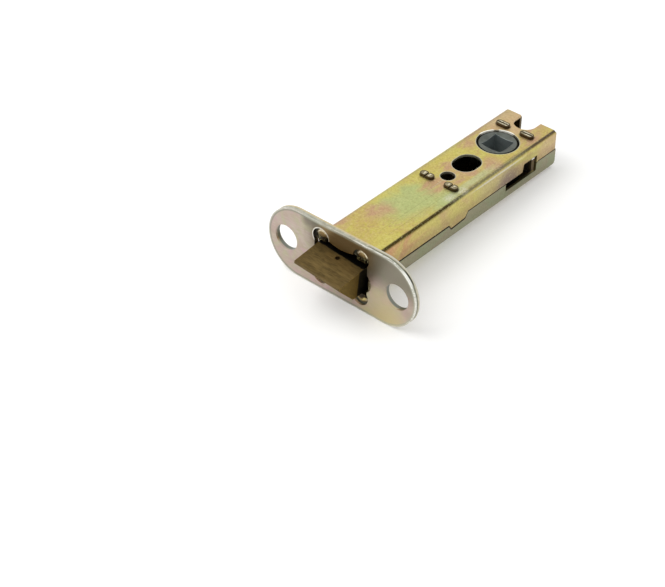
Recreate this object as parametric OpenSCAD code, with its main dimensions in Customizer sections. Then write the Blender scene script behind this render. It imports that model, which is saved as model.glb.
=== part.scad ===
// Tubular mortice latch: a sprung latch bolt in a two-part folded steel case,
// with a forend plate at the door's edge and a follower turned by a square spindle.
// X runs along the forend, Y runs from the forend to the rear of the case, Z is the
// spindle's axis. The origin is the centre of the forend's front face.

/* [Forend] */
// Length of the forend over its round ends
forend_len = 62; // [56:1:80]
// Width of the forend
forend_w = 26; // [24:0.5:32]
// Thickness of the forend
forend_t = 2; // [1.7:0.1:3]
// Distance from the end of the forend to the centre of its screw hole
screw_edge = 7.7; // [6.5:0.1:9]
// Diameter of the screw holes
screw_d = 9.4; // [6:0.2:10]
// Depth of the pocket around the bolt's opening
pocket_depth = 1.3; // [0.9:0.1:1.4]

/* [Case] */
// Distance from the follower's axis to the rear of the case's top
rear_len = 19.2; // [18:0.1:26]
// Width of the case
case_w = 22; // [20:0.5:27]
// Height of the case over both shells
case_h = 14.5; // [13.5:0.1:18]
// Thickness of the steel sheet
sheet = 1; // [0.8:0.05:1.2]
// Outer radius of the bends
bend_r = 1.5; // [1.3:0.1:2]
// Width of the notch at the rear
notch_w = 8.4; // [6:0.1:9]
// Length of the notch from the rear of the case
notch_len = 7.3; // [5:0.1:8]

/* [Holes for the door furniture] */
// Width of the oval hole across the case
oval_w = 9; // [6:0.5:10]
// Length of the oval hole along the case
oval_len = 11; // [10.5:0.5:14]
// Distance from the follower's axis to the centre of the oval hole
oval_ahead = 17.3; // [15.5:0.1:18]
// Diameter of the small round hole
small_d = 5.2; // [3:0.1:6]
// Distance from the follower's axis to the centre of the small hole
small_ahead = 27.6; // [26:0.1:28]

/* [Follower] */
// Backset, from the forend's face to the follower's axis
backset = 82; // [80:0.5:96]
// Side of the square spindle hole
spindle_af = 8.1; // [7:0.05:8.5]
// Diameter of the follower's bearing bosses
boss_d = 14.3; // [13:0.1:14.4]
// Diameter of the flanges inside the case
flange_d = 17.2; // [15.5:0.1:17.4]
// Distance from the follower's axis to the centre of an arm's nose
arm_r = 8.7; // [8.2:0.05:8.75]
// Radius of the arm's nose
nose_r = 0.95; // [0.8:0.05:1]
// Angle that the arms lie forward of the case's width at rest
arm_angle = 35; // [30:1:38]

/* [Latch bolt] */
// How far the bolt stands out of the forend
bolt_throw = 11.7; // [9:0.1:13]
// Angle that the bolt lies over in its case, with its left side up
bolt_roll = 5; // [0:0.1:5]
// Length of the bolt's body behind the forend's face
bolt_body = 12; // [11:0.5:13]
// Height of the flat at the bolt's nose
bolt_nose = 1; // [0.5:0.1:2]
// Drop of the bolt's upper face from its root to its nose
bolt_drop = 1.75; // [0:0.05:3]
// Diameter of the bolt's stem
stem_d = 3.2; // [2.5:0.1:3.6]
// Diameter of the pin through the bolt and its stem
pin_d = 1.6; // [1.2:0.1:2]

/* [Tail and springs] */
// Place of the tail's web behind the forend's face
web_y = 32; // [31:0.5:36]
// Thickness of the tail's plate
tail_t = 1.4; // [1.2:0.1:1.6]
// Place of the front bridge behind the forend's face
bridge_y = 49; // [47.5:0.5:50]
// Thickness of the two bridges
bridge_t = 1.5; // [1.2:0.1:1.8]
// Outer diameter of the return spring
return_od = 9.6; // [9.2:0.1:10]
// Wire of the return spring
return_wire = 1; // [0.8:0.1:1.2]
// Outer diameter of the bolt's spring
light_od = 7; // [6:0.1:7.4]
// Wire of the bolt's spring
light_wire = 0.6; // [0.4:0.1:0.8]

/* [Hidden] */
$fn = 64;

// Clearances and small allowances
slide_gap = 0.3;
bolt_gap = 0.5;
bolt_gap_top = 0.9;
flat_gap = 0.2;
fit_gap = 0.02;
past = 1;

// Case values that follow from the sizes above
half_w = case_w / 2;
half_h = case_h / 2;
case_len = backset + rear_len;
in_w = half_w - sheet;
in_h = half_h - sheet;
flange_end = case_len + 1.1;
rear_bridge_y = backset + 9;
notch_y = case_len - notch_len;
notch_r = notch_w / 2 - 0.1;
seam_gap = 0.25;
return_x = notch_w / 2 + 0.4;

// Forend: the pocket's four lobes, the two tongues between them and the side arcs
lobe_x = half_w - 2.6;
lobe_z = half_h + 0.2;
lobe_r = 3.3;
tongue_r = 14;
tongue_z = in_h + 0.4 + tongue_r;
side_r = 4.1;
side_x = half_w + 1.8 - side_r;
side_z = -1.3;
side_depth = 0.8;

// Lugs of the shells, headed over in the pocket
lug_x = lobe_x;
lug_w = 4;
lug_head_r = lobe_r - 0.35;
lug_head_t = 1;
lug_dome_r = (lug_head_r * lug_head_r + lug_head_t * lug_head_t) / (2 * lug_head_t);

// Staked tabs of the bridges
tab_x = 5.1;
tab_w = 4.6;
tab_head_w = 5.4;
tab_head_t = 0.9;
tab_head_over = 0.55;
tab_groove = 0.6;

// Latch bolt, whose corners stay clear of the case when it lies over
bolt_x = in_w - bolt_gap;
bolt_top = in_h - bolt_gap_top;
bolt_bottom = -bolt_top;
bolt_root_y = 3;
nose_top = bolt_top - bolt_drop;
bevel_root_y = -4.2;
pin_y = -1.9;
pin_pit = 0.6;
bore_r = 4.1;
bore_floor_y = 6;
stem_front_y = -4;
stem_rear_y = web_y + tail_t + 2.6;
clip_d = 6;
clip_t = 1;

// Tail fork
prong_in = 7.8;
prong_out = in_w - 0.4;
prong_z0 = 2;
prong_z1 = 3.4;
web_z = 4.5;
arm_z = 1.5;
lug_in = 7.6;
nose_rest_y = backset - arm_r * sin(arm_angle) + nose_r;
catch_y = nose_rest_y + 0.35;
catch_t = 1.5;

// Follower
bearing_r = boss_d / 2 + 0.35;
boss_z = half_h - 0.2;
boss_edge = 0.6;
dish_in = spindle_af / 2 - 0.2;
dish_rim = boss_edge + 0.3;
dish_depth = 0.6;
flange_z = in_h - flat_gap;
flange_t = 1.65;
waist_r = 6.4;
waist_z = 1.8;

// Lays a flat outline in X and Z, and gives it thickness from y0 to y1
module along_y(y0, y1) {
    translate([0, y1, 0]) rotate([90, 0, 0]) linear_extrude(y1 - y0) children();
}

// Lays a flat outline in Y and Z, and gives it thickness from x0 to x1
module along_x(x0, x1) {
    translate([x0, 0, 0]) rotate([90, 0, 90]) linear_extrude(x1 - x0) children();
}

// Rectangle with round corners, centred
module round_box(w, h, r) {
    square([w - 2 * r, h], center = true);
    square([w, h - 2 * r], center = true);
    for (i = [-1, 1], j = [-1, 1]) translate([i * (w / 2 - r), j * (h / 2 - r)]) circle(r);
}

// Slot with round ends, longer along Y
module oval(w, len) {
    square([w, len - w], center = true);
    for (j = [-1, 1]) translate([0, j * (len - w) / 2]) circle(d = w);
}

module forend_outline() {
    square([forend_len - forend_w, forend_w], center = true);
    for (i = [-1, 1]) translate([i * (forend_len - forend_w) / 2, 0]) circle(d = forend_w, $fn = 96);
}

// The deeper part of the pocket: four lobes for the lug heads, and the room between two tongues
module pocket_outline() {
    difference() {
        square([2 * lobe_x, 2 * lobe_z], center = true);
        for (j = [-1, 1]) translate([0, j * tongue_z]) circle(tongue_r, $fn = 96);
    }
    for (i = [-1, 1], j = [-1, 1]) translate([i * lobe_x, j * lobe_z]) circle(lobe_r);
}

module forend_plate() {
    color("rosybrown") difference() {
        along_y(0, forend_t) forend_outline();
        for (i = [-1, 1])
            translate([i * (forend_len / 2 - screw_edge), -past, 0])
                rotate([-90, 0, 0]) cylinder(d = screw_d, h = forend_t + 2 * past);
        along_y(-past, forend_t + past) square([case_w + 0.2, 2 * in_h + 0.8], center = true);
        along_y(-past, pocket_depth) pocket_outline();
        along_y(-past, side_depth)
            for (i = [-1, 1]) translate([i * side_x, side_z]) circle(side_r, $fn = 96);
        along_y(-past, forend_t + past)
            for (i = [-1, 1]) translate([i * lug_x, 0]) square([lug_w + 0.2, case_h + 0.2], center = true);
    }
}

// Upper flange's lower edge along the side of the case, as points in Y and Z
function seam_points(drop) = [
    [forend_t, -1.3 - drop], [bridge_y - 7, -1.3 - drop], [bridge_y - 5.8, -3.1 - drop],
    [bridge_y + 1.6, -2.6 - drop], [bridge_y + 3.2, -0.5 - drop],
    [rear_bridge_y - 0.4, -0.5 - drop], [rear_bridge_y + 0.2, -0.1 - drop]];

module upper_region() {
    polygon(concat(seam_points(0), [
        [flange_end - bend_r, -0.1], [flange_end - bend_r, in_h],
        [case_len, in_h], [case_len, half_h + past], [forend_t, half_h + past]]));
}

module lower_region() {
    polygon(concat(
        [[case_len - 0.2, -half_h - past], [forend_t, -half_h - past]],
        seam_points(seam_gap), [
        [case_len + 0.6, -0.1 - seam_gap],
        [case_len + 0.6, -in_h + 1], [case_len - 0.2, -half_h + 0.1]]));
}

// Window and slot in the right-hand side, where the tail's catch shows
module window_outline() {
    polygon([[backset - 9, -3.6], [rear_bridge_y - 0.6, -3.6], [rear_bridge_y - 0.5, 2.6],
             [backset + 0.9, 2.6], [backset + 0.3, -0.5], [backset - 9, -0.5]]);
}

module case_profile() {
    difference() {
        round_box(case_w, case_h, bend_r);
        round_box(case_w - 2 * sheet, case_h - 2 * sheet, bend_r - sheet);
    }
}

// Rear end of the upper flanges, turned inwards on both sides of the notch
module rear_returns() {
    translate([0, 0, -0.1]) linear_extrude(in_h - 0.15) difference() {
        translate([0, flange_end - 6]) round_box(case_w, 12, bend_r);
        translate([0, flange_end - 6]) round_box(case_w - 2 * sheet, 12 - 2 * sheet, bend_r - sheet);
        translate([-half_w - past, flange_end - 20]) square([case_w + 2 * past, 20 - bend_r - 0.4]);
        translate([-return_x, flange_end - 5]) square([2 * return_x, 10]);
    }
}

// Everything that is cut through both shells
module case_holes() {
    translate([0, backset, 0]) cylinder(r = bearing_r, h = case_h + 2 * past, center = true, $fn = 96);
    translate([0, backset - oval_ahead, 0])
        linear_extrude(case_h + 2 * past, center = true) oval(oval_w, oval_len);
    translate([0, backset - small_ahead, 0])
        cylinder(d = small_d, h = case_h + 2 * past, center = true);
    linear_extrude(case_h + 2 * past, center = true) rear_notch();
    for (y = [bridge_y, rear_bridge_y], i = [-1, 1])
        translate([i * tab_x, y + bridge_t / 2, 0])
            cube([tab_w + 0.1, bridge_t + 0.1, case_h + 2 * past], center = true);
    along_x(in_w - past, half_w + past) window_outline();
}

module rear_notch() {
    translate([-notch_w / 2, notch_y + notch_r]) square([notch_w, notch_len + 5]);
    for (i = [-1, 1]) translate([i * (notch_w / 2 - notch_r), notch_y + notch_r]) circle(notch_r);
}

// The two lugs of one shell and their heads, for the upper side
module shell_lugs() {
    for (i = [-1, 1]) {
        translate([i * lug_x - lug_w / 2, pocket_depth - lug_head_t, in_h])
            cube([lug_w, forend_t - pocket_depth + lug_head_t, sheet]);
        intersection() {
            translate([i * lug_x, pocket_depth - lug_head_t + lug_dome_r, lobe_z])
                sphere(lug_dome_r);
            translate([i * lug_x - lug_w, pocket_depth - lug_head_t, in_h])
                cube([2 * lug_w, lug_head_t, 2 * lug_w]);
        }
    }
}

module upper_shell() {
    color("khaki") union() {
        difference() {
            intersection() {
                along_y(forend_t, flange_end + past) case_profile();
                along_x(-half_w - past, half_w + past) upper_region();
            }
            case_holes();
        }
        rear_returns();
        shell_lugs();
    }
}

module lower_shell() {
    color("darkseagreen") union() {
        difference() {
            intersection() {
                along_y(forend_t, flange_end + past) case_profile();
                along_x(-half_w - past, half_w + past) lower_region();
            }
            case_holes();
        }
        mirror([0, 0, 1]) shell_lugs();
    }
}

// Cross plate between the shells, with four tabs headed over outside them
module bridge(y, half_len) {
    translate([-half_len, y, -in_h]) cube([2 * half_len, bridge_t, 2 * in_h]);
    for (i = [-1, 1]) {
        translate([i * tab_x, y + bridge_t / 2, 0])
            cube([tab_w, bridge_t, case_h], center = true);
    }
}

// A tab's head: a lump with round ends and a groove, across or along the tab
module tab_head(y, side, lengthwise) {
    head_y = bridge_t + 2 * tab_head_over;
    cut = lengthwise ? [tab_head_w - 1.4, tab_groove, tab_head_t]
                     : [tab_groove, head_y + past, tab_head_t];
    for (j = [-1, 1])
        translate([side * tab_x, y + bridge_t / 2, j * (half_h + tab_head_t / 2)])
            difference() {
                linear_extrude(tab_head_t, center = true) rotate([0, 0, 90]) oval(head_y, tab_head_w);
                translate([0, 0, j * tab_head_t / 2]) cube(cut, center = true);
            }
}

module front_bridge() {
    color("lightgrey") difference() {
        union() {
            bridge(bridge_y, lug_in - 0.1);
            for (side = [-1, 1]) tab_head(bridge_y, side, false);
        }
        translate([0, bridge_y - past, 0]) rotate([-90, 0, 0])
            cylinder(d = clip_d + 1, h = bridge_t + 2 * past);
    }
}

module rear_bridge() {
    color("lightgrey") union() {
        bridge(rear_bridge_y, lug_in);
        for (side = [-1, 1]) tab_head(rear_bridge_y, side, true);
    }
}

module bolt_outline() {
    polygon([[-bolt_throw, nose_top], [bolt_root_y, bolt_top], [bolt_body, bolt_top],
             [bolt_body, bolt_bottom], [bevel_root_y, bolt_bottom],
             [-bolt_throw, nose_top - bolt_nose]]);
}

// The bolt and what is fixed to it lie over together
module rolled() {
    rotate([0, bolt_roll, 0]) children();
}

module latch_bolt() {
    color("peru") rolled() difference() {
        along_x(-bolt_x, bolt_x) bolt_outline();
        translate([0, bore_floor_y, 0]) rotate([-90, 0, 0]) cylinder(r = bore_r, h = bolt_body);
        translate([0, stem_front_y - fit_gap, 0]) rotate([-90, 0, 0])
            cylinder(d = stem_d + 2 * fit_gap, h = bolt_body);
        translate([0, pin_y, 0]) cylinder(d = pin_d + 2 * fit_gap, h = case_h, center = true);
    }
}

module bolt_stem() {
    color("silver") rolled() difference() {
        translate([0, stem_front_y, 0]) rotate([-90, 0, 0])
            cylinder(d = stem_d, h = stem_rear_y - stem_front_y);
        translate([0, pin_y, 0]) cylinder(d = pin_d + 2 * fit_gap, h = case_h, center = true);
    }
}

module stem_pin() {
    pin_top = bolt_top - bolt_drop * (bolt_root_y - pin_y) / (bolt_root_y + bolt_throw) - pin_pit;
    color("dimgrey") rolled() translate([0, pin_y, bolt_bottom + pin_pit])
        cylinder(d = pin_d, h = pin_top - bolt_bottom - pin_pit);
}

module stem_clip() {
    color("dimgrey") translate([0, web_y + tail_t + flat_gap, 0]) rotate([-90, 0, 0]) difference() {
        cylinder(d = clip_d, h = clip_t);
        translate([0, 0, -past]) cylinder(d = stem_d + 2 * fit_gap, h = clip_t + 2 * past);
    }
}

// Round wire wound about the case's axis from y0 to y1
module coil(y0, y1, od, wire, turns, sides) {
    steps = 18;
    r = (od - wire) / 2;
    rings = turns * steps;
    pitch = (y1 - y0 - wire) / turns;
    lean = atan(pitch / (2 * PI * r));
    points = [for (k = [0 : rings], s = [0 : sides - 1])
        let (a = 360 * k / steps, b = 360 * s / sides, u = wire / 2 * cos(b), v = wire / 2 * sin(b),
             y = y0 + wire / 2 + pitch * k / steps)
        [(r + u) * cos(a) + v * sin(lean) * sin(a),
         y + v * cos(lean),
         (r + u) * sin(a) - v * sin(lean) * cos(a)]];
    walls = [for (k = [0 : rings - 1], s = [0 : sides - 1])
        let (t = (s + 1) % sides)
        [k * sides + s, k * sides + t, (k + 1) * sides + t, (k + 1) * sides + s]];
    ends = [[for (s = [0 : sides - 1]) sides - 1 - s], [for (s = [0 : sides - 1]) rings * sides + s]];
    polyhedron(points, concat(walls, ends));
}

module bolt_spring() {
    color("gainsboro") coil(bore_floor_y, web_y, light_od, light_wire, 10, 6);
}

module return_spring() {
    color("gainsboro") coil(web_y + tail_t, bridge_y, return_od, return_wire, 6, 8);
}

module tail_fork() {
    color("goldenrod") difference() {
        union() {
            translate([-prong_out, web_y, -web_z]) cube([2 * prong_out, tail_t, 2 * web_z]);
            for (i = [-1, 1]) {
                translate([i * (prong_in + prong_out) / 2, (web_y + catch_y + catch_t) / 2,
                           (prong_z0 + prong_z1) / 2])
                    cube([prong_out - prong_in, catch_y + catch_t - web_y, prong_z1 - prong_z0],
                         center = true);
                translate([i * (lug_in + prong_out) / 2, catch_y + catch_t / 2,
                           (prong_z1 - arm_z) / 2])
                    cube([prong_out - lug_in, catch_t, prong_z1 + arm_z], center = true);
            }
        }
        translate([0, web_y - past, 0]) rotate([-90, 0, 0])
            cylinder(d = stem_d + 2 * slide_gap, h = tail_t + 2 * past);
    }
}

module follower_hub() {
    color("slategrey") translate([0, backset, 0]) difference() {
        union() {
            cylinder(d = boss_d, h = 2 * (boss_z - boss_edge), center = true, $fn = 96);
            for (j = [0, 1]) mirror([0, 0, j]) translate([0, 0, boss_z - boss_edge])
                cylinder(r1 = boss_d / 2, r2 = boss_d / 2 - boss_edge, h = boss_edge, $fn = 96);
            for (j = [-1, 1])
                translate([0, 0, j * (flange_z - flange_t / 2)])
                    cylinder(d = flange_d, h = flange_t, center = true, $fn = 96);
            for (a = [-arm_angle, 180 + arm_angle]) rotate([0, 0, a]) {
                translate([0, -nose_r, -arm_z]) cube([arm_r, 2 * nose_r, 2 * arm_z]);
                translate([arm_r, 0, 0]) cylinder(r = nose_r, h = 2 * arm_z, center = true);
            }
        }
        difference() {
            cylinder(d = boss_d + past, h = 2 * waist_z, center = true);
            cylinder(r = waist_r, h = 2 * waist_z + past, center = true);
            for (a = [-arm_angle, 180 + arm_angle]) rotate([0, 0, a])
                translate([0, -nose_r, -arm_z]) cube([arm_r, 2 * nose_r, 2 * arm_z]);
        }
        cube([spindle_af, spindle_af, case_h + 2 * past], center = true);
        for (j = [0, 1]) mirror([0, 0, j]) translate([0, 0, boss_z - dish_depth])
            cylinder(r1 = dish_in, r2 = boss_d / 2 - dish_rim, h = dish_depth, $fn = 96);
    }
}

forend_plate();
upper_shell();
lower_shell();
front_bridge();
rear_bridge();
latch_bolt();
bolt_stem();
stem_pin();
stem_clip();
bolt_spring();
tail_fork();
return_spring();
follower_hub();
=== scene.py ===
"""The looks of a tubular mortice latch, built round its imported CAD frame.

Each operator makes one piece or one group of like pieces, and main calls them in order.
Lengths are in metres in the CAD's own frame; patterns in the materials are laid out in
millimetres of the same frame.
"""

import math

import bmesh
import bpy
from mathutils import Matrix, Vector


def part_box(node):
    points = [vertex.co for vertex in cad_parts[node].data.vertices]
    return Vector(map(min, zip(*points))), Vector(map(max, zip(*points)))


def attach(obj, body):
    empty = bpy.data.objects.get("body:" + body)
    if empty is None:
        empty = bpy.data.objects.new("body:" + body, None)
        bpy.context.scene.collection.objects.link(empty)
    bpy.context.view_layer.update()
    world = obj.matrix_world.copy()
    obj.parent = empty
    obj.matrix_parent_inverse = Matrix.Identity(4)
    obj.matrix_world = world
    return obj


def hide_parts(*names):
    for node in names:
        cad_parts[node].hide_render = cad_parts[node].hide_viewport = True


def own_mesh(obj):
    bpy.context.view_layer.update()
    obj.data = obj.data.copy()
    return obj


bl_info = {
    "name": "Tubular Latch Looks",
    "version": (1, 0, 0),
    "blender": (4, 5, 0),
    "location": "View3D > Sidebar > Latch",
    "description": "Finishes the pieces of a tubular mortice latch and sets its stage",
    "category": "Object",
}

MM = 0.001
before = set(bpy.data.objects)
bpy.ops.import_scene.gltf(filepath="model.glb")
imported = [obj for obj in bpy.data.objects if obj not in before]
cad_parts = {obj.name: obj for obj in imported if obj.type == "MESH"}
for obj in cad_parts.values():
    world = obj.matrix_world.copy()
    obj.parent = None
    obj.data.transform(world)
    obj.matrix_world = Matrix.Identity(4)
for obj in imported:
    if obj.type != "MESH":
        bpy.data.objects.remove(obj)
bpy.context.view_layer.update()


def srgb(red, green, blue):
    """A colour given as seen on screen, from 0 to 255, as linear values."""
    def linear(value):
        value /= 255
        return value / 12.92 if value <= 0.04045 else ((value + 0.055) / 1.055) ** 2.4
    return (linear(red), linear(green), linear(blue))


def mid(node):
    """Centre of a CAD node's box, in millimetres."""
    low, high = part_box(node)
    return (Vector(low) + Vector(high)) / 2 / MM


# Places and sizes that the patterns follow, in millimetres of the CAD frame
FOLLOWER = mid("follower_hub")
FRONT_TABS = mid("front_bridge")
REAR_TABS = mid("rear_bridge")
TAB_X, TAB_STRAIGHT, TAB_ROUND = 5.1, 1.4, 1.3
TAB_HEAD = 0.9
CASE_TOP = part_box("front_bridge")[1][2] / MM - TAB_HEAD
CASE_SIDE = 11.0
CASE_END = 101.0
SHEET = 1.0
WINDOW = 81.0
LUG = Vector((CASE_SIDE - 2.6, 0, CASE_TOP + 0.2))
LUG_LENGTH = 1.7
LIP_ROUND = 3.47
FOREND_THICK = 2.0
FOREND_HALF = 18.0
FOREND_ROUND = 13.0
BOLT_HALF = 9.5
BOLT_LEAN = math.radians(5)
HUB_BORE = 7.5
BOSS_ROUND = 6.6
SQUARE_HALF = 4.05
SCRIBED_X = (3.1, 6.4)
# The way from the follower's middle to the brightest part of the painted highlight in its bore, as a
# unit (x, y)
BORE_HIGHLIGHT = (-0.65, 0.76)
# Holes with pale rims, as (distance ahead of the follower, half the straight part, radius)
RIMS = ((0, 0, HUB_BORE), (27.6, 0, 2.6), (17.3, 1, 4.5))
# The upper shell's lower edge, as (y, z), and the depth that a ramp's highest value stands for
SEAM = (
    (2, -1.42), (42, -1.42), (43.2, -3.22), (50.6, -2.72), (52.2, -0.62), (90.6, -0.62), (91.2, -0.22))
SEAM_DEPTH = 4

# Soft patches in the plating of the case's faces, as (x, y, radius)
BRIGHT_SPOTS = ((-9, 62, 9), (-9, 34, 7), (7, 12, 7))
GREEN_SPOTS = ((0, 34, 12), (3, 39, 8), (-4, 30, 7), (8, 43, 8), (-4, 39, 6))
PINK_SPOTS = (
    (-7, 74, 4), (1, FRONT_TABS.y - 1, 7), (3, FRONT_TABS.y + 6, 5), (-3, FRONT_TABS.y + 10, 4),
    (4, FRONT_TABS.y + 12, 4), (-11, 11, 6), (-4, 24, 6), (4, 4, 4), (-9, 90, 11), (-9, 81, 7),
    (0, 98, 11), (7, 92, 6), (7, 70, 5))
SMUDGES = ((8.4, 45, 2.6), (9, 51, 2.2))
# The one on the case's side, as (z, y, radius), and those on the forend, as (x, z, radius)
SIDE_STAIN = (0, 74, 7)
YELLOW_END = (19, -14, 13)
LUG_SMEARS = ((-14, 13, 4), (-11, 13, 4))

# Springs, as (node, body that holds the rear end, joint that squashes it)
SPRINGS = (("return_spring", "case", "tail_slide"), ("bolt_spring", "tail", "bolt_slide"))

# Stage: the light from all round, as (height, grey), the key light and the camera
SKY_STOPS = ((0.02, (0.22, 0.22, 0.22)), (0.6, (1, 1, 1)))
SEEN_RAYS = ("Is Camera Ray", "Is Glossy Ray", "Is Transmission Ray")
FLOOR_GLOW = 0.24
KEY_SIZE = 0.9
KEY_PLACE = Vector((-0.52, -0.34, 0.76))
KEY_TARGET = Vector((0, 0.05, 0))
CAMERA_PLACE = (0.2930, -0.3427, 0.3465)
CAMERA_ANGLES = (40.831, 38.403, -0.808)
CAMERA_LENS = 96.65
CAMERA_SENSOR = 36

WELD = 0.002 * MM
FLAT_ANGLE = math.radians(0.5)
SHARP_ANGLE = math.radians(35)


def colour_property(name, text, value):
    """A colour that the panel shows, with its default in linear values."""
    return bpy.props.FloatVectorProperty(
        name=name, description=text, subtype="COLOR", size=3, min=0, max=1, default=value)


def length_property(name, text, value):
    """A length in metres that the panel shows."""
    return bpy.props.FloatProperty(
        name=name, description=text, unit="LENGTH", min=0, precision=5, default=value)


class LatchFinish(bpy.types.PropertyGroup):
    """Colours and edge sizes of the latch."""

    plating: colour_property("Plating", "Yellow passivated plating", srgb(202, 190, 104))
    plating_gold: colour_property("Gold", "Warmer parts of the plating", srgb(196, 174, 102))
    plating_pink: colour_property("Pink", "Pink clouds in the plating", srgb(193, 157, 121))
    plating_green: colour_property("Green", "Green clouds in the plating", srgb(179, 189, 126))
    zinc: colour_property("Zinc", "Bare zinc at cut edges", srgb(196, 196, 182))
    forend: colour_property("Forend", "Pinkish plating of the forend", srgb(186, 172, 159))
    forend_yellow: colour_property("Forend yellow", "Yellow end of the forend", srgb(204, 190, 140))
    brass: colour_property("Bolt", "Satin brass of the bolt", srgb(107, 88, 51))
    cast: colour_property("Follower", "Dull cast metal of the follower", srgb(101, 105, 99))
    bright: colour_property("Bright", "Plated bridges and stem", srgb(168, 162, 142))
    wire: colour_property("Wire", "Drawn spring wire", srgb(140, 140, 138))
    sheet_round: length_property("Sheet edge", "Rounding of the sheet's cut edges", 0.00012)
    forend_round: length_property("Forend edge", "Rounding of the forend's rim", 0.00045)
    head_round: length_property("Head edge", "Rounding of the staked heads", 0.0003)
    bolt_round: length_property("Bolt edge", "Rounding of the bolt's edges", 0.00012)
    follower_round: length_property("Follower edge", "Rounding of the follower's edges", 0.00027)


class LatchStage(bpy.types.PropertyGroup):
    """Floor and light."""

    floor: colour_property("Floor", "Pale floor", (0.78, 0.78, 0.77))
    floor_size: length_property("Floor size", "Side of the floor", 3.0)
    sky: bpy.props.FloatProperty(
        name="Sky", description="Strength of the light from all round", min=0.01, default=0.85)
    key: bpy.props.FloatProperty(
        name="Key", description="Power of the key light", unit="POWER", min=0, default=6.0)


class Value:
    """A shader socket that carries a number; its operators add Math nodes."""

    def __init__(self, nodes, socket):
        self.nodes = nodes
        self.socket = socket

    def math(self, operation, *others):
        """The result of a Math node on this value and the others."""
        values = dict(enumerate((self, *others)))
        return self.nodes.add("ShaderNodeMath", {"operation": operation}, values)

    def __add__(self, other):
        return self.math("ADD", other)

    def __sub__(self, other):
        return self.math("SUBTRACT", other)

    def __mul__(self, other):
        return self.math("MULTIPLY", other)

    def __truediv__(self, other):
        return self.math("DIVIDE", other)

    def __radd__(self, other):
        return self.math("ADD", other)

    def __rmul__(self, other):
        return self.math("MULTIPLY", other)

    def __rsub__(self, other):
        return self.nodes.add("ShaderNodeMath", {"operation": "SUBTRACT"}, {0: other, 1: self})

    def __abs__(self):
        return self.math("ABSOLUTE")

    def above(self, low, high):
        """0 below low, 1 above high and smooth between them; high may be the lower one."""
        settings = {"interpolation_type": "SMOOTHSTEP"}
        values = {"Value": self, "From Min": low, "From Max": high}
        return self.nodes.add("ShaderNodeMapRange", settings, values)

    def near(self, place, width):
        """1 at place, falling to 0 at width on both sides of it."""
        return abs(self - place).above(width, width * 0.35)


class Nodes:
    """The node tree of a material or of the world, and the methods that build it."""

    def __init__(self, block, shader):
        block.use_nodes = True
        self.block = block
        self.tree = block.node_tree
        self.shader = self.tree.nodes[shader]

    def add(self, kind, settings, values, output=0):
        """Any node: its settings are set first, then its sockets, then one output is given back."""
        node = self.tree.nodes.new(kind)
        for key, value in settings.items():
            if key == "stops":
                ramp = node.color_ramp.elements
                while len(ramp) < len(value):
                    ramp.new(1)
                for element, (place, colour) in zip(ramp, value):
                    element.position = place
                    element.color = (*colour, 1)
            else:
                setattr(node, key, value)
        for key, value in values.items():
            self.join(value, node.inputs[key])
        return Value(self, node.outputs[output])

    def join(self, value, socket):
        """Links a value to a socket, or sets a constant on it."""
        if isinstance(value, Value):
            self.tree.links.new(value.socket, socket)
        elif socket.type == "RGBA":
            socket.default_value = (*value[:3], 1)
        else:
            socket.default_value = value

    def axes(self, place):
        """The three numbers of a place."""
        node = self.add("ShaderNodeSeparateXYZ", {}, {"Vector": place}).socket.node
        return [Value(self, socket) for socket in node.outputs]

    def mix(self, factor, first, second):
        """Mixes two colours."""
        settings = {"data_type": "RGBA", "clamp_factor": True}
        return self.add("ShaderNodeMix", settings, {0: factor, 6: first, 7: second}, 2)

    def seen(self):
        """1 for rays that show a background, seen straight or in metal and glass, and 0 for the rest."""
        rays = self.add("ShaderNodeLightPath", {}, {}).socket.node.outputs
        camera, glossy, through = (Value(self, rays[ray]) for ray in SEEN_RAYS)
        return camera.math("MAXIMUM", glossy).math("MAXIMUM", through)


class Finish(Nodes):
    """One material and the patterns that its finish is made of."""

    def __init__(self, name):
        super().__init__(bpy.data.materials.new(name), "Principled BSDF")

    def place(self, scale=(1, 1, 1)):
        """Place on the piece in millimetres, times a scale that stretches a pattern."""
        place = self.add("ShaderNodeTexCoord", {}, {}, "Object")
        factor = tuple(s / MM for s in scale)
        return self.add("ShaderNodeVectorMath", {"operation": "MULTIPLY"}, {0: place, 1: factor})

    def noise(self, place, scale, detail=3.0, distortion=0.0, offset=None):
        """Smooth noise around 0.5 on a place; scale is in waves a millimetre."""
        if offset:
            place = self.add("ShaderNodeVectorMath", {"operation": "ADD"}, {0: place, 1: offset})
        values = {"Vector": place, "Scale": scale, "Detail": detail, "Distortion": distortion}
        return self.add("ShaderNodeTexNoise", {}, values)

    def reach(self, x, y):
        """Distance from the middle."""
        return (x * x + y * y).math("SQRT")

    def round_bar(self, x, y, straight):
        """Distance to a line along X that reaches straight to both sides of the middle."""
        return self.reach((abs(x) - straight).math("MAXIMUM", 0), y)

    def spots(self, x, y, centres):
        """Soft long patches at centres of (x, y, radius), as one mask."""
        mask = None
        for cx, cy, radius in centres:
            spot = self.reach(x - cx, (y - cy) * 0.7).above(radius, radius * 0.2)
            mask = spot if mask is None else mask.math("MAXIMUM", spot)
        return mask

    def seam(self, y):
        """Height of the seam between the shells at y."""
        (start, _), (end, _) = SEAM[0], SEAM[-1]
        length = end - start
        stops = [((at - start) / length, (-z / SEAM_DEPTH,) * 3) for at, z in SEAM]
        along = (y - start) / length
        return self.add("ShaderNodeValToRGB", {"stops": stops}, {0: along}) * -SEAM_DEPTH

    def finish(self, colour, metallic, roughness, height, depth):
        """Joins the results to the shader and gives the material back."""
        bump = self.add("ShaderNodeBump", {}, {"Height": height, "Distance": depth, "Strength": 1.0})
        sockets = self.shader.inputs
        self.join(colour, sockets["Base Color"])
        self.join(metallic, sockets["Metallic"])
        self.join(roughness, sockets["Roughness"])
        self.join(bump, sockets["Normal"])
        return self.block


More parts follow.
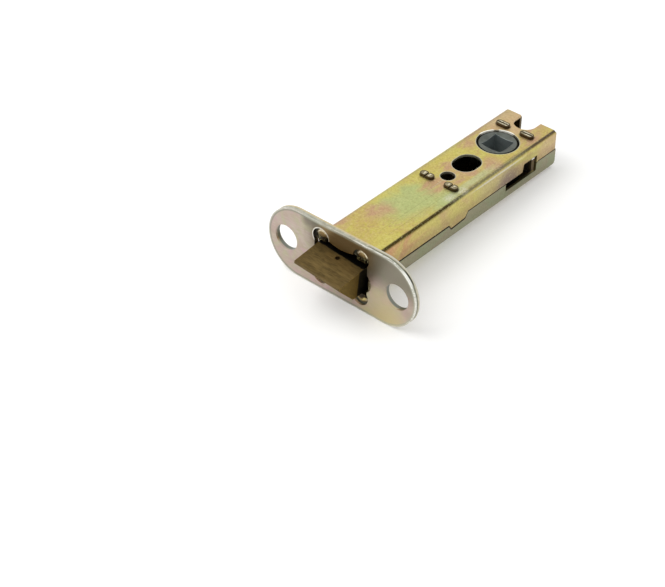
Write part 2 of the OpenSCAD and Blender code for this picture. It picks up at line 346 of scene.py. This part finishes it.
def case_clouds(f, place, x, y, wisps, looks):
    """The flat faces: yellow and gold with green and pink clouds, and peach at the rear."""
    cloud = f.noise(place, 0.11, 4.0, 1.2)
    streaks = f.noise(f.place((1, 0.6, 1)), 0.5, 6.0, 2.0, (3, 60, 5))
    colour = f.mix(cloud.above(0.38, 0.66), looks.plating, looks.plating_gold)
    colour = f.mix(streaks.above(0.5, 0.66) * 0.5, colour, srgb(196, 187, 80))
    colour = f.mix(streaks.above(0.47, 0.34) * 0.6, colour, srgb(188, 157, 106))
    colour = f.mix(f.spots(x, y, BRIGHT_SPOTS) * 0.6, colour, srgb(206, 196, 102))
    warped = (x + (cloud - 0.5) * 9, y + (wisps - 0.5) * 8)
    colour = f.mix(f.spots(*warped, GREEN_SPOTS) * 0.9, colour, looks.plating_green)
    pink = f.spots(*warped, PINK_SPOTS) * wisps.above(0.25, 0.6)
    colour = f.mix(pink, colour, looks.plating_pink)
    return f.mix(y.above(82, 92) * x.above(6, 0) * 0.6, colour, srgb(208, 183, 140))


def case_sides(f, y, z, lower):
    """The sides: golden, pinker at both ends, and dim by the window and along the lower edge."""
    blush = f.noise(f.place((1, 0.5, 1)), 0.16, 4.0, 1.0, (40, 3, 9))
    if lower:
        return f.mix(blush.above(0.35, 0.65), srgb(145, 149, 119), srgb(149, 143, 119))
    colour = f.mix(blush.above(0.36, 0.72), srgb(204, 194, 110), srgb(196, 170, 118))
    colour = f.mix(y.above(38, 14) * blush.above(0.15, 0.6), colour, srgb(202, 154, 112))
    colour = f.mix(y.near(67, 14) * 0.5, colour, srgb(186, 168, 136))
    colour = f.mix(y.above(88, 96) * 0.5, colour, srgb(192, 158, 138))
    colour = f.mix(z.above(4, 0) * 0.5, colour, srgb(164, 140, 98))
    return f.mix(f.spots(z, y, (SIDE_STAIN,)) * 0.7, colour, srgb(128, 106, 108))


def case_bends(f, x, y, z, colour):
    """Painted dark reflections along the bends, and on the right a painted pale highlight strip on the
    top beside them and a painted highlight on the flank below them.
    """
    middle = y.near(66, 26)
    past = abs(x) + y.above(30, 60) * 0.2 - (CASE_SIDE - 0.6)
    # Painted dark reflection along the rounded corners of the case, weaker on the left and greyer in the
    # middle
    bend_reflection = abs(past).above(0.7, 0.2).math("MAXIMUM", past.near(-0.5, 0.9) * middle * 0.55)
    bend_reflection = bend_reflection * abs(z).above(CASE_TOP - 1.6, CASE_TOP - 1) * (0.3 + 0.7 * x.above(-1, 1))
    dark = f.mix(y.above(40, 90), srgb(62, 50, 14), srgb(80, 64, 42))
    dark = f.mix(middle, dark, srgb(86, 88, 76))
    colour = f.mix(bend_reflection * (1 - 0.25 * middle), colour, dark)
    # Painted highlight: a pale strip on the top, inboard of the right corner
    pale = (past * x.above(0, 1)).near(-2.2, 1.9) * y.near(56, 18)
    pale = pale * abs(z).above(CASE_TOP - 0.5, CASE_TOP - 0.3)
    colour = f.mix(pale * 0.6, colour, srgb(186, 194, 156))
    # Painted highlight on the right flank, just below the rounded corner
    painted_gleam = z.near(CASE_TOP - 1.3, 0.45) * y.near(68, 18)
    painted_gleam = painted_gleam * x.above(CASE_SIDE - 0.7, CASE_SIDE - 0.4)
    return f.mix(painted_gleam * 0.6, colour, srgb(214, 212, 204))


def case_holes(f, x, y, z, colour, looks):
    """Pale rims round the holes, painted shadow round the tab heads and two scribed lines."""
    rims = None
    for ahead, straight, radius in RIMS:
        ring = f.round_bar(y - (FOLLOWER.y - ahead), x, straight).near(radius, 0.3)
        rims = ring if rims is None else rims.math("MAXIMUM", ring)
    colour = f.mix(rims * 0.8, colour, looks.zinc)
    # Painted shadow on the sheet round each tab head
    for tabs in (FRONT_TABS, REAR_TABS):
        away = f.round_bar(abs(x) - TAB_X, y - tabs.y, TAB_STRAIGHT)
        colour = f.mix(away.above(TAB_ROUND + 0.6, TAB_ROUND) * 0.85, colour, srgb(64, 50, 30))
    lines = (x.near(SCRIBED_X[0], 0.14) + x.near(SCRIBED_X[1], 0.14)) * y.near(30, 16).above(0, 0.1)
    lines = lines * z.above(CASE_TOP - 0.8, CASE_TOP - 0.3)
    return f.mix(lines * 0.3, colour, srgb(110, 98, 52))


def case_lugs(f, x, y, z, wisps, colour):
    """The lugs' heads: brown, with painted shade on their part towards the opening, a painted highlight
    on the crown and a golden painted highlight on the lower heads' rims.
    """
    crown = f.reach(abs(x) - LUG.x, abs(z) - LUG.z)
    # Painted highlight on the outer part of each head's crown
    painted_shine = crown.near(2.25, 0.5) * abs(z).above(LUG.z + 0.3, LUG.z + 1.2)
    # Painted shade: each head is near black on its side towards the middle of the opening
    lug = f.mix(abs(z).above(LUG.z, LUG.z + 1.6), srgb(30, 24, 16), srgb(128, 104, 66))
    lug = f.mix(painted_shine * wisps.above(0.35, 0.6), lug, srgb(238, 228, 200))
    # Golden painted highlight on the rims of the lower heads
    lug = f.mix(z.above(-LUG.z, -LUG.z - 0.6) * crown.near(1.7, 0.7), lug, srgb(226, 206, 140))
    return f.mix(y.above(LUG_LENGTH, LUG_LENGTH - 0.3), colour, lug)


def case_cuts(f, x, y, z, colour):
    """Painted shade on the inner faces, a dim cut round the window and the dark seam between the shells.
    """
    # Painted shade on the inner faces of the shells
    inner_shade = abs(x).above(CASE_SIDE - SHEET + 0.25, CASE_SIDE - SHEET + 0.1)
    inner_shade = inner_shade * abs(z).above(CASE_TOP - SHEET + 0.25, CASE_TOP - SHEET + 0.1)
    colour = f.mix(inner_shade * 0.85, colour, srgb(52, 44, 26))
    cut = abs(x).near(CASE_SIDE - SHEET / 2, 0.62) * y.near(WINDOW, 13) * abs(z).above(6, 5)
    colour = f.mix(cut * 0.9, colour, srgb(78, 72, 50))
    line = ((z - f.seam(y)) * (1 + y.above(50, 54) * 0.8)).near(0, 0.52)
    line = line * abs(x).above(CASE_SIDE - 1.4, CASE_SIDE - 1.2)
    return f.mix(line, colour, srgb(34, 28, 18))


def case_speckle(f, place, y, grain, lower, colour):
    """Fine dark and pale specks and pits; the cut rear ends have no pale ones."""
    speckle = f.noise(place, 1.6, 8.0)
    colour = f.mix(speckle.above(0.52, 0.66) * 0.24, colour, srgb(136, 112, 60))
    pale = speckle.above(0.46, 0.34) * (0.06 if lower else 0.26) * y.above(CASE_END - 1, CASE_END - 3)
    colour = f.mix(pale, colour, srgb(224, 218, 156))
    return f.mix(grain.above(0.62, 0.72) * 0.3, colour, srgb(120, 104, 62))


def bore_highlight(f, x, y, z):
    """Painted highlight: two bright arcs on the far wall of the follower's bore, as a mask."""
    behind = y - FOLLOWER.y
    ring = f.reach(x, behind).near(HUB_BORE + 0.1, 0.5) * z.above(CASE_TOP - 0.75, CASE_TOP - 0.6)
    outwards = x * BORE_HIGHLIGHT[0] + behind * BORE_HIGHLIGHT[1]
    sideways = x * BORE_HIGHLIGHT[1] - behind * BORE_HIGHLIGHT[0]
    return ring * outwards.above(4.4, 5.6) * abs(sideways).above(0.6, 1.3)


def passivated_steel(name, looks, lower=False):
    """Yellow passivated sheet: clouds of gold, pink and green, pale cut edges and fine pits."""
    f = Finish(name)
    place = f.place()
    x, y, z = f.axes(place)
    wisps = f.noise(f.place((1, 0.35, 1)), 0.35, 5.0, 0.8)
    grain = f.noise(place, 2.4, 6.0)
    colour = case_clouds(f, place, x, y, wisps, looks)
    flank = abs(x).above(CASE_SIDE - 0.5, CASE_SIDE - 0.05)
    colour = f.mix(flank, colour, case_sides(f, y, z, lower))
    colour = case_bends(f, x, y, z, colour)
    smudge = f.spots(x, y, SMUDGES) * grain.above(0.4, 0.56) * z.above(0, 1)
    colour = f.mix(smudge * 0.7, colour, srgb(214, 210, 188))
    colour = case_holes(f, x, y, z, colour, looks)
    colour = case_lugs(f, x, y, z, wisps, colour)
    colour = case_cuts(f, x, y, z, colour)
    colour = case_speckle(f, place, y, grain, lower, colour)
    # Painted highlight on the far wall of the bore, with a less metallic finish there
    painted_gleam = bore_highlight(f, x, y, z)
    colour = f.mix(painted_gleam, colour, srgb(252, 250, 238))
    roughness = 0.27 + 0.2 * wisps + 0.12 * grain
    return f.finish(colour, 0.9 - 0.75 * painted_gleam, roughness, grain * 0.5 + wisps, 0.03 * MM)


def forend_face(f, place, x, z, drawn, looks):
    """The face: pinkish with draw lines, yellow at one end, brown and grey above the opening."""
    cloud = f.noise(place, 0.09, 4.0, 1.0, (7, 0, 3))
    tint = f.noise(place, 0.14, 5.0, 1.6, (21, 4, 9))
    colour = f.mix(cloud.above(0.36, 0.66), looks.forend, srgb(178, 160, 146))
    colour = f.mix(tint.above(0.5, 0.62) * 0.8, colour, srgb(186, 160, 158))
    colour = f.mix(tint.above(0.48, 0.36) * 0.8, colour, srgb(178, 172, 145))
    colour = f.mix(drawn.above(0.5, 0.72) * 0.3, colour, srgb(214, 204, 190))
    colour = f.mix(drawn.above(0.46, 0.26) * 0.3, colour, srgb(140, 128, 112))
    end = f.spots(x + (cloud - 0.5) * 12, z, (YELLOW_END,))
    colour = f.mix(end * 0.8, colour, looks.forend_yellow)
    upper = z.above(-3, 6) * (x + (cloud - 0.5) * 6).above(-17, -11)
    grey = f.mix(x.above(2, 14), srgb(118, 110, 90), srgb(126, 122, 106))
    colour = f.mix(upper * 0.9, colour, grey)
    halo = abs(x * 0.9 - 1).above(13, 7) * z.above(3, 7)
    colour = f.mix(halo * (0.6 + 0.5 * cloud), colour, srgb(134, 112, 74))
    return f.mix(f.spots(x, z, LUG_SMEARS) * drawn * 1.2, colour, srgb(104, 104, 92))


def forend_border(f, x, y, z, inset, drawn, colour):
    """A painted highlight on the lip over the upper left lug, and a grey border with a painted shade
    line along its left and lower part.
    """
    # Painted highlight round the upper left lug's lobe
    lip = f.reach(abs(x) - LUG.x, abs(z) - LUG.z).near(LIP_ROUND, 0.28)
    lip = lip * x.above(0, -2) * z.above(3, 5) * y.above(0.2, 0.1)
    colour = f.mix(lip * drawn.above(0.3, 0.5) * 0.9, colour, srgb(228, 224, 212))
    colour = f.mix(inset.above(1.1, 0.7) * 0.6, colour, srgb(172, 174, 156))
    # Painted shade along the border of the left and lower part
    return f.mix(inset.near(0.65, 0.4) * (x + z).above(2, -4) * 0.5, colour, srgb(112, 112, 100))


def forend_rim(f, x, y, z, inset, drawn, sheared, painted_glint):
    """The rim: sheared grey, yellow behind, with painted shade at the right end beside the painted
    highlight and paler grey behind it there; the front pocket is olive.
    """
    colour = f.mix(sheared.above(0.35, 0.7), srgb(162, 160, 142), srgb(194, 192, 176))
    colour = f.mix(inset.above(1, 1.5), colour, srgb(126, 128, 118))
    colour = f.mix(y.above(1.1, 1.7) * inset.above(1.5, 1), colour, srgb(206, 190, 150))
    # Painted shade on the rim's right end, paler behind
    colour = f.mix((x + z).above(22, 27) * y.above(1.3, 0.8), colour, srgb(96, 98, 80))
    colour = f.mix((x + z).above(22, 26) * y.above(1.3, 1.7), colour, srgb(200, 198, 184))
    # Painted shade beside the painted highlight on the rounded right end
    colour = f.mix(painted_glint * y.above(0.8, 0.95) * y.above(1.5, 1.3), colour, srgb(50, 53, 43))
    pocket = abs(x).near(CASE_SIDE, 2.2) * abs(z).above(6.2, 5.6)
    olive = f.mix(drawn.above(0.5, 0.62), srgb(112, 98, 62), srgb(176, 166, 130))
    return f.mix(pocket, colour, olive)


def forend_steel(looks):
    """Pinkish plated plate: fine draw lines, a yellow end, brown by the opening, a sheared rim, and
    painted highlights along the front edge and on the right end.
    """
    f = Finish("forend_steel")
    place = f.place()
    x, y, z = f.axes(place)
    drawn = f.noise(f.place((0.12, 1, 1)), 3.0, 5.0)
    sheared = f.noise(f.place((1, 0.08, 1)), 0.9, 4.0, 0.0, (0, 9, 0))
    grain = f.noise(place, 1.8, 6.0)
    inset = FOREND_ROUND - f.round_bar(x, z, FOREND_HALF)
    # Painted highlight on the rounded right end of the rim
    painted_glint = (x - FOREND_HALF - z).near(0, 5.5) * x.above(FOREND_HALF + 2, FOREND_HALF + 4)
    colour = forend_face(f, place, x, z, drawn, looks)
    colour = forend_border(f, x, y, z, inset, drawn, colour)
    # Painted highlight along the front edge's rounding, stronger towards the right end; the finish is
    # smoother under it
    edge_highlight = inset.above(0.55, 0.3) * y.above(0.75, 0.35)
    edge_highlight = edge_highlight * drawn.above(0.3, 0.6) * (0.35 + 0.6 * (x + z).above(16, 24))
    colour = f.mix(edge_highlight, colour, srgb(238, 238, 230))
    rim = y.above(0.5, 0.9) * y.above(FOREND_THICK - 0.01, FOREND_THICK - 0.07)
    colour = f.mix(rim, colour, forend_rim(f, x, y, z, inset, drawn, sheared, painted_glint))
    # The painted highlight is drawn paler and less metallic
    painted_glint = painted_glint * inset.above(0.45, 0.25) * y.above(0.85, 0.7)
    colour = f.mix(painted_glint, colour, srgb(252, 252, 244))
    roughness = 0.28 + 0.16 * drawn + 0.1 * rim - 0.1 * edge_highlight
    height = drawn * 0.35 * (1 - rim) + sheared * 0.9 * rim + grain * 0.4
    return f.finish(colour, 0.9 - 0.7 * painted_glint, roughness, height, 0.03 * MM)


def satin_brass(looks):
    """Dull brass with lines that run across the bolt; painted shade darkens its sides and turns it near
    black where it goes back into the forend.
    """
    f = Finish("bolt_brass")
    place = f.place()
    x, y, z = f.axes(place)
    lines = f.noise(f.place((0.06, 1, 1)), 4.5, 6.0)
    broad = f.noise(f.place((0.15, 1, 1)), 0.5, 3.0)
    spots = f.noise(place, 0.9, 4.0)
    colour = f.mix(lines.above(0.35, 0.65), srgb(82, 68, 38), looks.brass)
    colour = f.mix(broad.above(0.45, 0.75) * 0.5, colour, srgb(140, 118, 72))
    colour = f.mix(spots.above(0.6, 0.72) * 0.45, colour, srgb(74, 58, 32))
    across = abs(x * math.cos(BOLT_LEAN) - z * math.sin(BOLT_LEAN))
    flank = across.above(BOLT_HALF - 0.08, BOLT_HALF - 0.02)
    # Painted shade: near black from the forend's face rearwards, reaching further forward on the sides
    inner_shade = (y + flank * 1.9 + (spots - 0.5) * 0.8).above(-0.6, -0.1)
    # Painted shade: the side faces are a darker copy of the brass
    side = f.mix(lines.above(0.35, 0.65), srgb(94, 78, 36), srgb(138, 115, 56))
    colour = f.mix(inner_shade, f.mix(flank, colour, side), srgb(14, 12, 8))
    return f.finish(colour, 0.92, 0.34 + 0.2 * lines, lines * 0.8 + spots * 0.2, 0.04 * MM)


def cast_metal(looks):
    """Dull grey cast metal with a faint skin, painted shade round the boss and painted light on the
    walls of the square hole.
    """
    f = Finish("follower_metal")
    place = f.place()
    x, y = f.axes(place)[:2]
    y = y - FOLLOWER.y
    skin = f.noise(place, 1.3, 6.0)
    stains = f.noise(place, 0.35, 3.0)
    colour = f.mix(stains.above(0.35, 0.65), looks.cast, srgb(86, 90, 84))
    colour = f.mix(skin.above(0.6, 0.75) * 0.5, colour, srgb(64, 66, 60))
    # Painted shade: near black beyond the boss's rounded top, in the gap round it
    colour = f.mix(f.reach(x, y).above(BOSS_ROUND - 0.1, BOSS_ROUND + 0.1), colour, srgb(16, 14, 10))
    # Painted light: the walls of the square hole are paler
    wall = abs(x).math("MAXIMUM", abs(y)).above(SQUARE_HALF + 0.07, SQUARE_HALF + 0.02)
    colour = f.mix(wall, colour, srgb(150, 158, 158))
    return f.finish(colour, 0.85, 0.32 + 0.2 * skin, skin, 0.05 * MM)


def staked_steel(looks):
    """Tab heads with painted highlights on their crests and painted shade round their edges and in their
    grooves; the rest is plain plating.
    """
    f = Finish("staked_steel")
    place = f.place()
    x, y, z = f.axes(place)
    stains = f.noise(place, 1.4, 4.0, 0.6)
    colour = f.mix(stains.above(0.4, 0.65), srgb(132, 122, 92), srgb(164, 152, 118))
    for tabs, along in ((FRONT_TABS, False), (REAR_TABS, True)):
        here = abs(y - tabs.y).above(2.4, 2.2)
        away = f.round_bar(abs(x) - TAB_X, y - tabs.y, TAB_STRAIGHT)
        across = abs(y - tabs.y) if along else abs(abs(x) - TAB_X)
        # Painted highlight along the crests of the heads
        crest_highlight = across.near(0.62 if along else 1.1, 0.42) * away.above(0.95, 0.6)
        colour = f.mix(here * crest_highlight * stains.above(0.35, 0.55), colour, srgb(226, 218, 190))
        # Painted shade round the heads' edges and in the grooves between their lumps
        edge = away.above(TAB_ROUND - 0.55, TAB_ROUND - 0.1)
        colour = f.mix(here * edge, colour, srgb(66, 54, 34))
        colour = f.mix(here * across.above(0.4, 0.2) * 0.85, colour, srgb(58, 48, 30))
    plain = f.mix(abs(x).above(8.6, 9), looks.bright, srgb(104, 106, 100))
    colour = f.mix(abs(z).above(CASE_TOP - 0.2, CASE_TOP), plain, colour)
    return f.finish(colour, 0.92, 0.3 + 0.15 * stains, stains, 0.04 * MM)


def plated_metal(name, base, dark, scale):
    """Plain plated steel with small stains."""
    f = Finish(name)
    place = f.place()
    stains = f.noise(place, scale, 4.0, 0.6)
    skin = f.noise(place, scale * 4, 5.0)
    colour = f.mix(stains.above(0.4, 0.68), base, dark)
    return f.finish(colour, 0.92, 0.27 + 0.2 * skin, skin * 0.6, 0.03 * MM)


def floor_paper(stage):
    """Pale paper: seen a little lighter than it is lit, and not seen from below."""
    f = Finish("floor_paper")
    grain = f.noise(f.place(), 0.4, 3.0)
    tint = f.mix(grain, stage.floor, tuple(c * 0.99 for c in stage.floor))
    f.finish(tint, 0.0, 0.9, grain * 0.1, 0.01 * MM)
    glow = f.add("ShaderNodeEmission", {}, {"Color": f.mix(f.seen(), (0, 0, 0), (FLOOR_GLOW,) * 3)})
    lit = f.add("ShaderNodeAddShader", {}, {0: glow, 1: Value(f, f.shader.outputs[0])})
    under = f.add("ShaderNodeNewGeometry", {}, {}, "Backfacing")
    clear = f.add("ShaderNodeBsdfTransparent", {}, {})
    both = f.add("ShaderNodeMixShader", {}, {0: under, 1: lit, 2: clear})
    f.join(both, f.tree.nodes["Material Output"].inputs["Surface"])
    return f.block


def shape_of(node):
    """A bmesh of a CAD node's shape with its triangles welded."""
    bm = bmesh.new()
    bm.from_mesh(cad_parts[node].data)
    bmesh.ops.remove_doubles(bm, verts=bm.verts, dist=WELD)
    return bm


def new_piece(name, bm, material, body):
    """Makes an object of a bmesh at the origin, gives it its material and lets it ride."""
    mesh = bpy.data.meshes.new(name)
    bm.to_mesh(mesh)
    bm.free()
    mesh.materials.append(material)
    mesh.shade_smooth()
    mesh.set_sharp_from_angle(angle=SHARP_ANGLE)
    piece = bpy.data.objects.new(name, mesh)
    bpy.context.scene.collection.objects.link(piece)
    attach(piece, body)
    return piece


def finished_node(node, material, body, width, segments=2):
    """A piece that stands for a CAD node of the same shape, its sharp edges rounded by a bevel."""
    bm = shape_of(node)
    bmesh.ops.dissolve_limit(bm, angle_limit=FLAT_ANGLE, verts=bm.verts, edges=bm.edges)
    piece = new_piece(node + "_finished", bm, material, body)
    bevel = piece.modifiers.new("Round edges", "BEVEL")
    bevel.width = width
    bevel.segments = segments
    bevel.limit_method = "ANGLE"
    bevel.angle_limit = SHARP_ANGLE
    bevel.harden_normals = True
    bevel.use_clamp_overlap = True
    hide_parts(node)
    return piece


class LATCH_OT_forend(bpy.types.Operator):
    """Makes the forend plate"""

    bl_idname = "latch.forend"
    bl_label = "Forend"

    def execute(self, context):
        looks = context.scene.latch_finish
        piece = finished_node("forend_plate", forend_steel(looks), "case", looks.forend_round, 3)
        return {"FINISHED"}


class LATCH_OT_shells(bpy.types.Operator):
    """Makes both shells of the case"""

    bl_idname = "latch.shells"
    bl_label = "Case shells"

    def execute(self, context):
        looks = context.scene.latch_finish
        for node in ("upper_shell", "lower_shell"):
            material = passivated_steel(node + "_steel", looks, node == "lower_shell")
            piece = finished_node(node, material, "case", looks.sheet_round)
        return {"FINISHED"}


class LATCH_OT_bridges(bpy.types.Operator):
    """Makes both cross plates with their staked heads"""

    bl_idname = "latch.bridges"
    bl_label = "Bridges"

    def execute(self, context):
        looks = context.scene.latch_finish
        material = staked_steel(looks)
        for node in ("front_bridge", "rear_bridge"):
            piece = finished_node(node, material, "case", looks.head_round, 4)
        return {"FINISHED"}


class LATCH_OT_bolt(bpy.types.Operator):
    """Makes the latch bolt"""

    bl_idname = "latch.bolt"
    bl_label = "Latch bolt"

    def execute(self, context):
        looks = context.scene.latch_finish
        piece = finished_node("latch_bolt", satin_brass(looks), "bolt", looks.bolt_round)
        return {"FINISHED"}


class LATCH_OT_stem(bpy.types.Operator):
    """Makes the stem, its pin and its clip"""

    bl_idname = "latch.stem"
    bl_label = "Stem, pin and clip"

    def execute(self, context):
        looks = context.scene.latch_finish
        material = plated_metal("stem_steel", looks.bright, srgb(104, 98, 84), 0.6)
        dull = plated_metal("pin_steel", srgb(58, 44, 28), srgb(30, 24, 16), 0.6)
        for node in ("bolt_stem", "stem_pin", "stem_clip"):
            finish = dull if node == "stem_pin" else material
            piece = finished_node(node, finish, "bolt", looks.sheet_round)
        return {"FINISHED"}


class LATCH_OT_tail(bpy.types.Operator):
    """Makes the sliding tail fork"""

    bl_idname = "latch.tail"
    bl_label = "Tail fork"

    def execute(self, context):
        looks = context.scene.latch_finish
        # Painted shade: the tail's colours are darkened for the shadow of the case round it
        material = plated_metal("tail_steel", srgb(96, 88, 60), srgb(74, 64, 46), 0.25)
        piece = finished_node("tail_fork", material, "tail", looks.sheet_round)
        return {"FINISHED"}


class LATCH_OT_springs(bpy.types.Operator):
    """Makes the two coil springs"""

    bl_idname = "latch.springs"
    bl_label = "Springs"

    def execute(self, context):
        looks = context.scene.latch_finish
        material = plated_metal("spring_wire", looks.wire, srgb(98, 98, 96), 0.8)
        for node, body, joint in SPRINGS:
            piece = new_piece(node + "_finished", shape_of(node), material, body)
            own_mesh(piece)
            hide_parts(node)
        return {"FINISHED"}


class LATCH_OT_follower(bpy.types.Operator):
    """Makes the follower"""

    bl_idname = "latch.follower"
    bl_label = "Follower"

    def execute(self, context):
        looks = context.scene.latch_finish
        piece = finished_node("follower_hub", cast_metal(looks), "follower", looks.follower_round, 3)
        return {"FINISHED"}


class LATCH_OT_stage(bpy.types.Operator):
    """Sets the floor, the light and the camera"""

    bl_idname = "latch.stage"
    bl_label = "Stage"

    def execute(self, context):
        scene = context.scene
        self.lay_floor(scene, scene.latch_stage)
        self.light(scene, scene.latch_stage)
        self.aim_camera(scene)
        scene.view_settings.view_transform = "Standard"
        return {"FINISHED"}

    def lay_floor(self, scene, stage):
        """The floor runs through the forend's lower edge and the rear tabs under the case."""
        front_low, front_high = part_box("forend_plate")
        rear_low, rear_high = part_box("rear_bridge")
        rise = (rear_low[2] - front_low[2]) / (rear_high[1] - front_high[1])
        bm = bmesh.new()
        bmesh.ops.create_grid(bm, x_segments=2, y_segments=2, size=stage.floor_size / 2)
        bmesh.ops.rotate(bm, verts=bm.verts, matrix=Matrix.Rotation(math.atan(rise), 3, "X"))
        bmesh.ops.translate(bm, verts=bm.verts, vec=(0, front_high[1], front_low[2]))
        mesh = bpy.data.meshes.new("floor")
        bm.to_mesh(mesh)
        bm.free()
        mesh.materials.append(floor_paper(stage))
        floor = bpy.data.objects.new("floor", mesh)
        scene.collection.objects.link(floor)

    def light(self, scene, stage):
        """Light from all round that is weaker at the horizon, and a large soft lamp at the left."""
        sky = Nodes(bpy.data.worlds.new("sky"), "Background")
        height = sky.axes(sky.add("ShaderNodeTexCoord", {}, {}, "Generated"))[2]
        grey = sky.add("ShaderNodeValToRGB", {"stops": SKY_STOPS}, {"Fac": height})
        sky.join(sky.mix(sky.seen(), grey, (1 / stage.sky,) * 3), sky.shader.inputs["Color"])
        sky.join(stage.sky, sky.shader.inputs["Strength"])
        scene.world = sky.block
        lamp = bpy.data.lights.new("key", "AREA")
        lamp.shape = "SQUARE"
        lamp.size = KEY_SIZE
        lamp.energy = stage.key
        key = bpy.data.objects.new("key", lamp)
        turn = (KEY_TARGET - KEY_PLACE).to_track_quat("-Z", "Y").to_matrix().to_4x4()
        key.matrix_world = Matrix.Translation(KEY_PLACE) @ turn
        scene.collection.objects.link(key)

    def aim_camera(self, scene):
        """The camera stands where the photograph was taken from."""
        azimuth, elevation, roll = (math.radians(a) for a in CAMERA_ANGLES)
        back = Vector((math.sin(azimuth) * math.cos(elevation),
                       -math.cos(azimuth) * math.cos(elevation), math.sin(elevation)))
        right = (-back).cross(Vector((0, 0, 1))).normalized()
        down = (-back).cross(right)
        right, down = (right * math.cos(roll) + down * math.sin(roll),
                       down * math.cos(roll) - right * math.sin(roll))
        turn = Matrix((right, -down, back)).transposed().to_4x4()
        data = bpy.data.cameras.new("camera")
        data.sensor_width = CAMERA_SENSOR
        data.lens = CAMERA_LENS
        data.clip_start = 0.01
        camera = bpy.data.objects.new("camera", data)
        camera.matrix_world = Matrix.Translation(CAMERA_PLACE) @ turn
        scene.collection.objects.link(camera)
        scene.camera = camera


OPERATORS = (LATCH_OT_forend, LATCH_OT_shells, LATCH_OT_bridges, LATCH_OT_bolt, LATCH_OT_stem,
             LATCH_OT_tail, LATCH_OT_springs, LATCH_OT_follower, LATCH_OT_stage)


class LATCH_PT_panel(bpy.types.Panel):
    """Lists the latch's operators and settings"""

    bl_label = "Latch"
    bl_idname = "LATCH_PT_panel"
    bl_space_type = "VIEW_3D"
    bl_region_type = "UI"
    bl_category = "Latch"

    def draw(self, context):
        for operator in OPERATORS:
            self.layout.operator(operator.bl_idname)
        for settings in (context.scene.latch_finish, context.scene.latch_stage):
            for key in settings.__annotations__:
                self.layout.prop(settings, key)


CLASSES = (LatchFinish, LatchStage, *OPERATORS, LATCH_PT_panel)


def register():
    for cls in CLASSES:
        bpy.utils.register_class(cls)
    bpy.types.Scene.latch_finish = bpy.props.PointerProperty(type=LatchFinish)
    bpy.types.Scene.latch_stage = bpy.props.PointerProperty(type=LatchStage)


def unregister():
    del bpy.types.Scene.latch_stage
    del bpy.types.Scene.latch_finish
    for cls in reversed(CLASSES):
        bpy.utils.unregister_class(cls)


def main():
    register()
    bpy.ops.latch.forend()
    bpy.ops.latch.shells()
    bpy.ops.latch.bridges()
    bpy.ops.latch.bolt()
    bpy.ops.latch.stem()
    bpy.ops.latch.tail()
    bpy.ops.latch.springs()
    bpy.ops.latch.follower()
    bpy.ops.latch.stage()


if __name__ == "__main__":
    main()
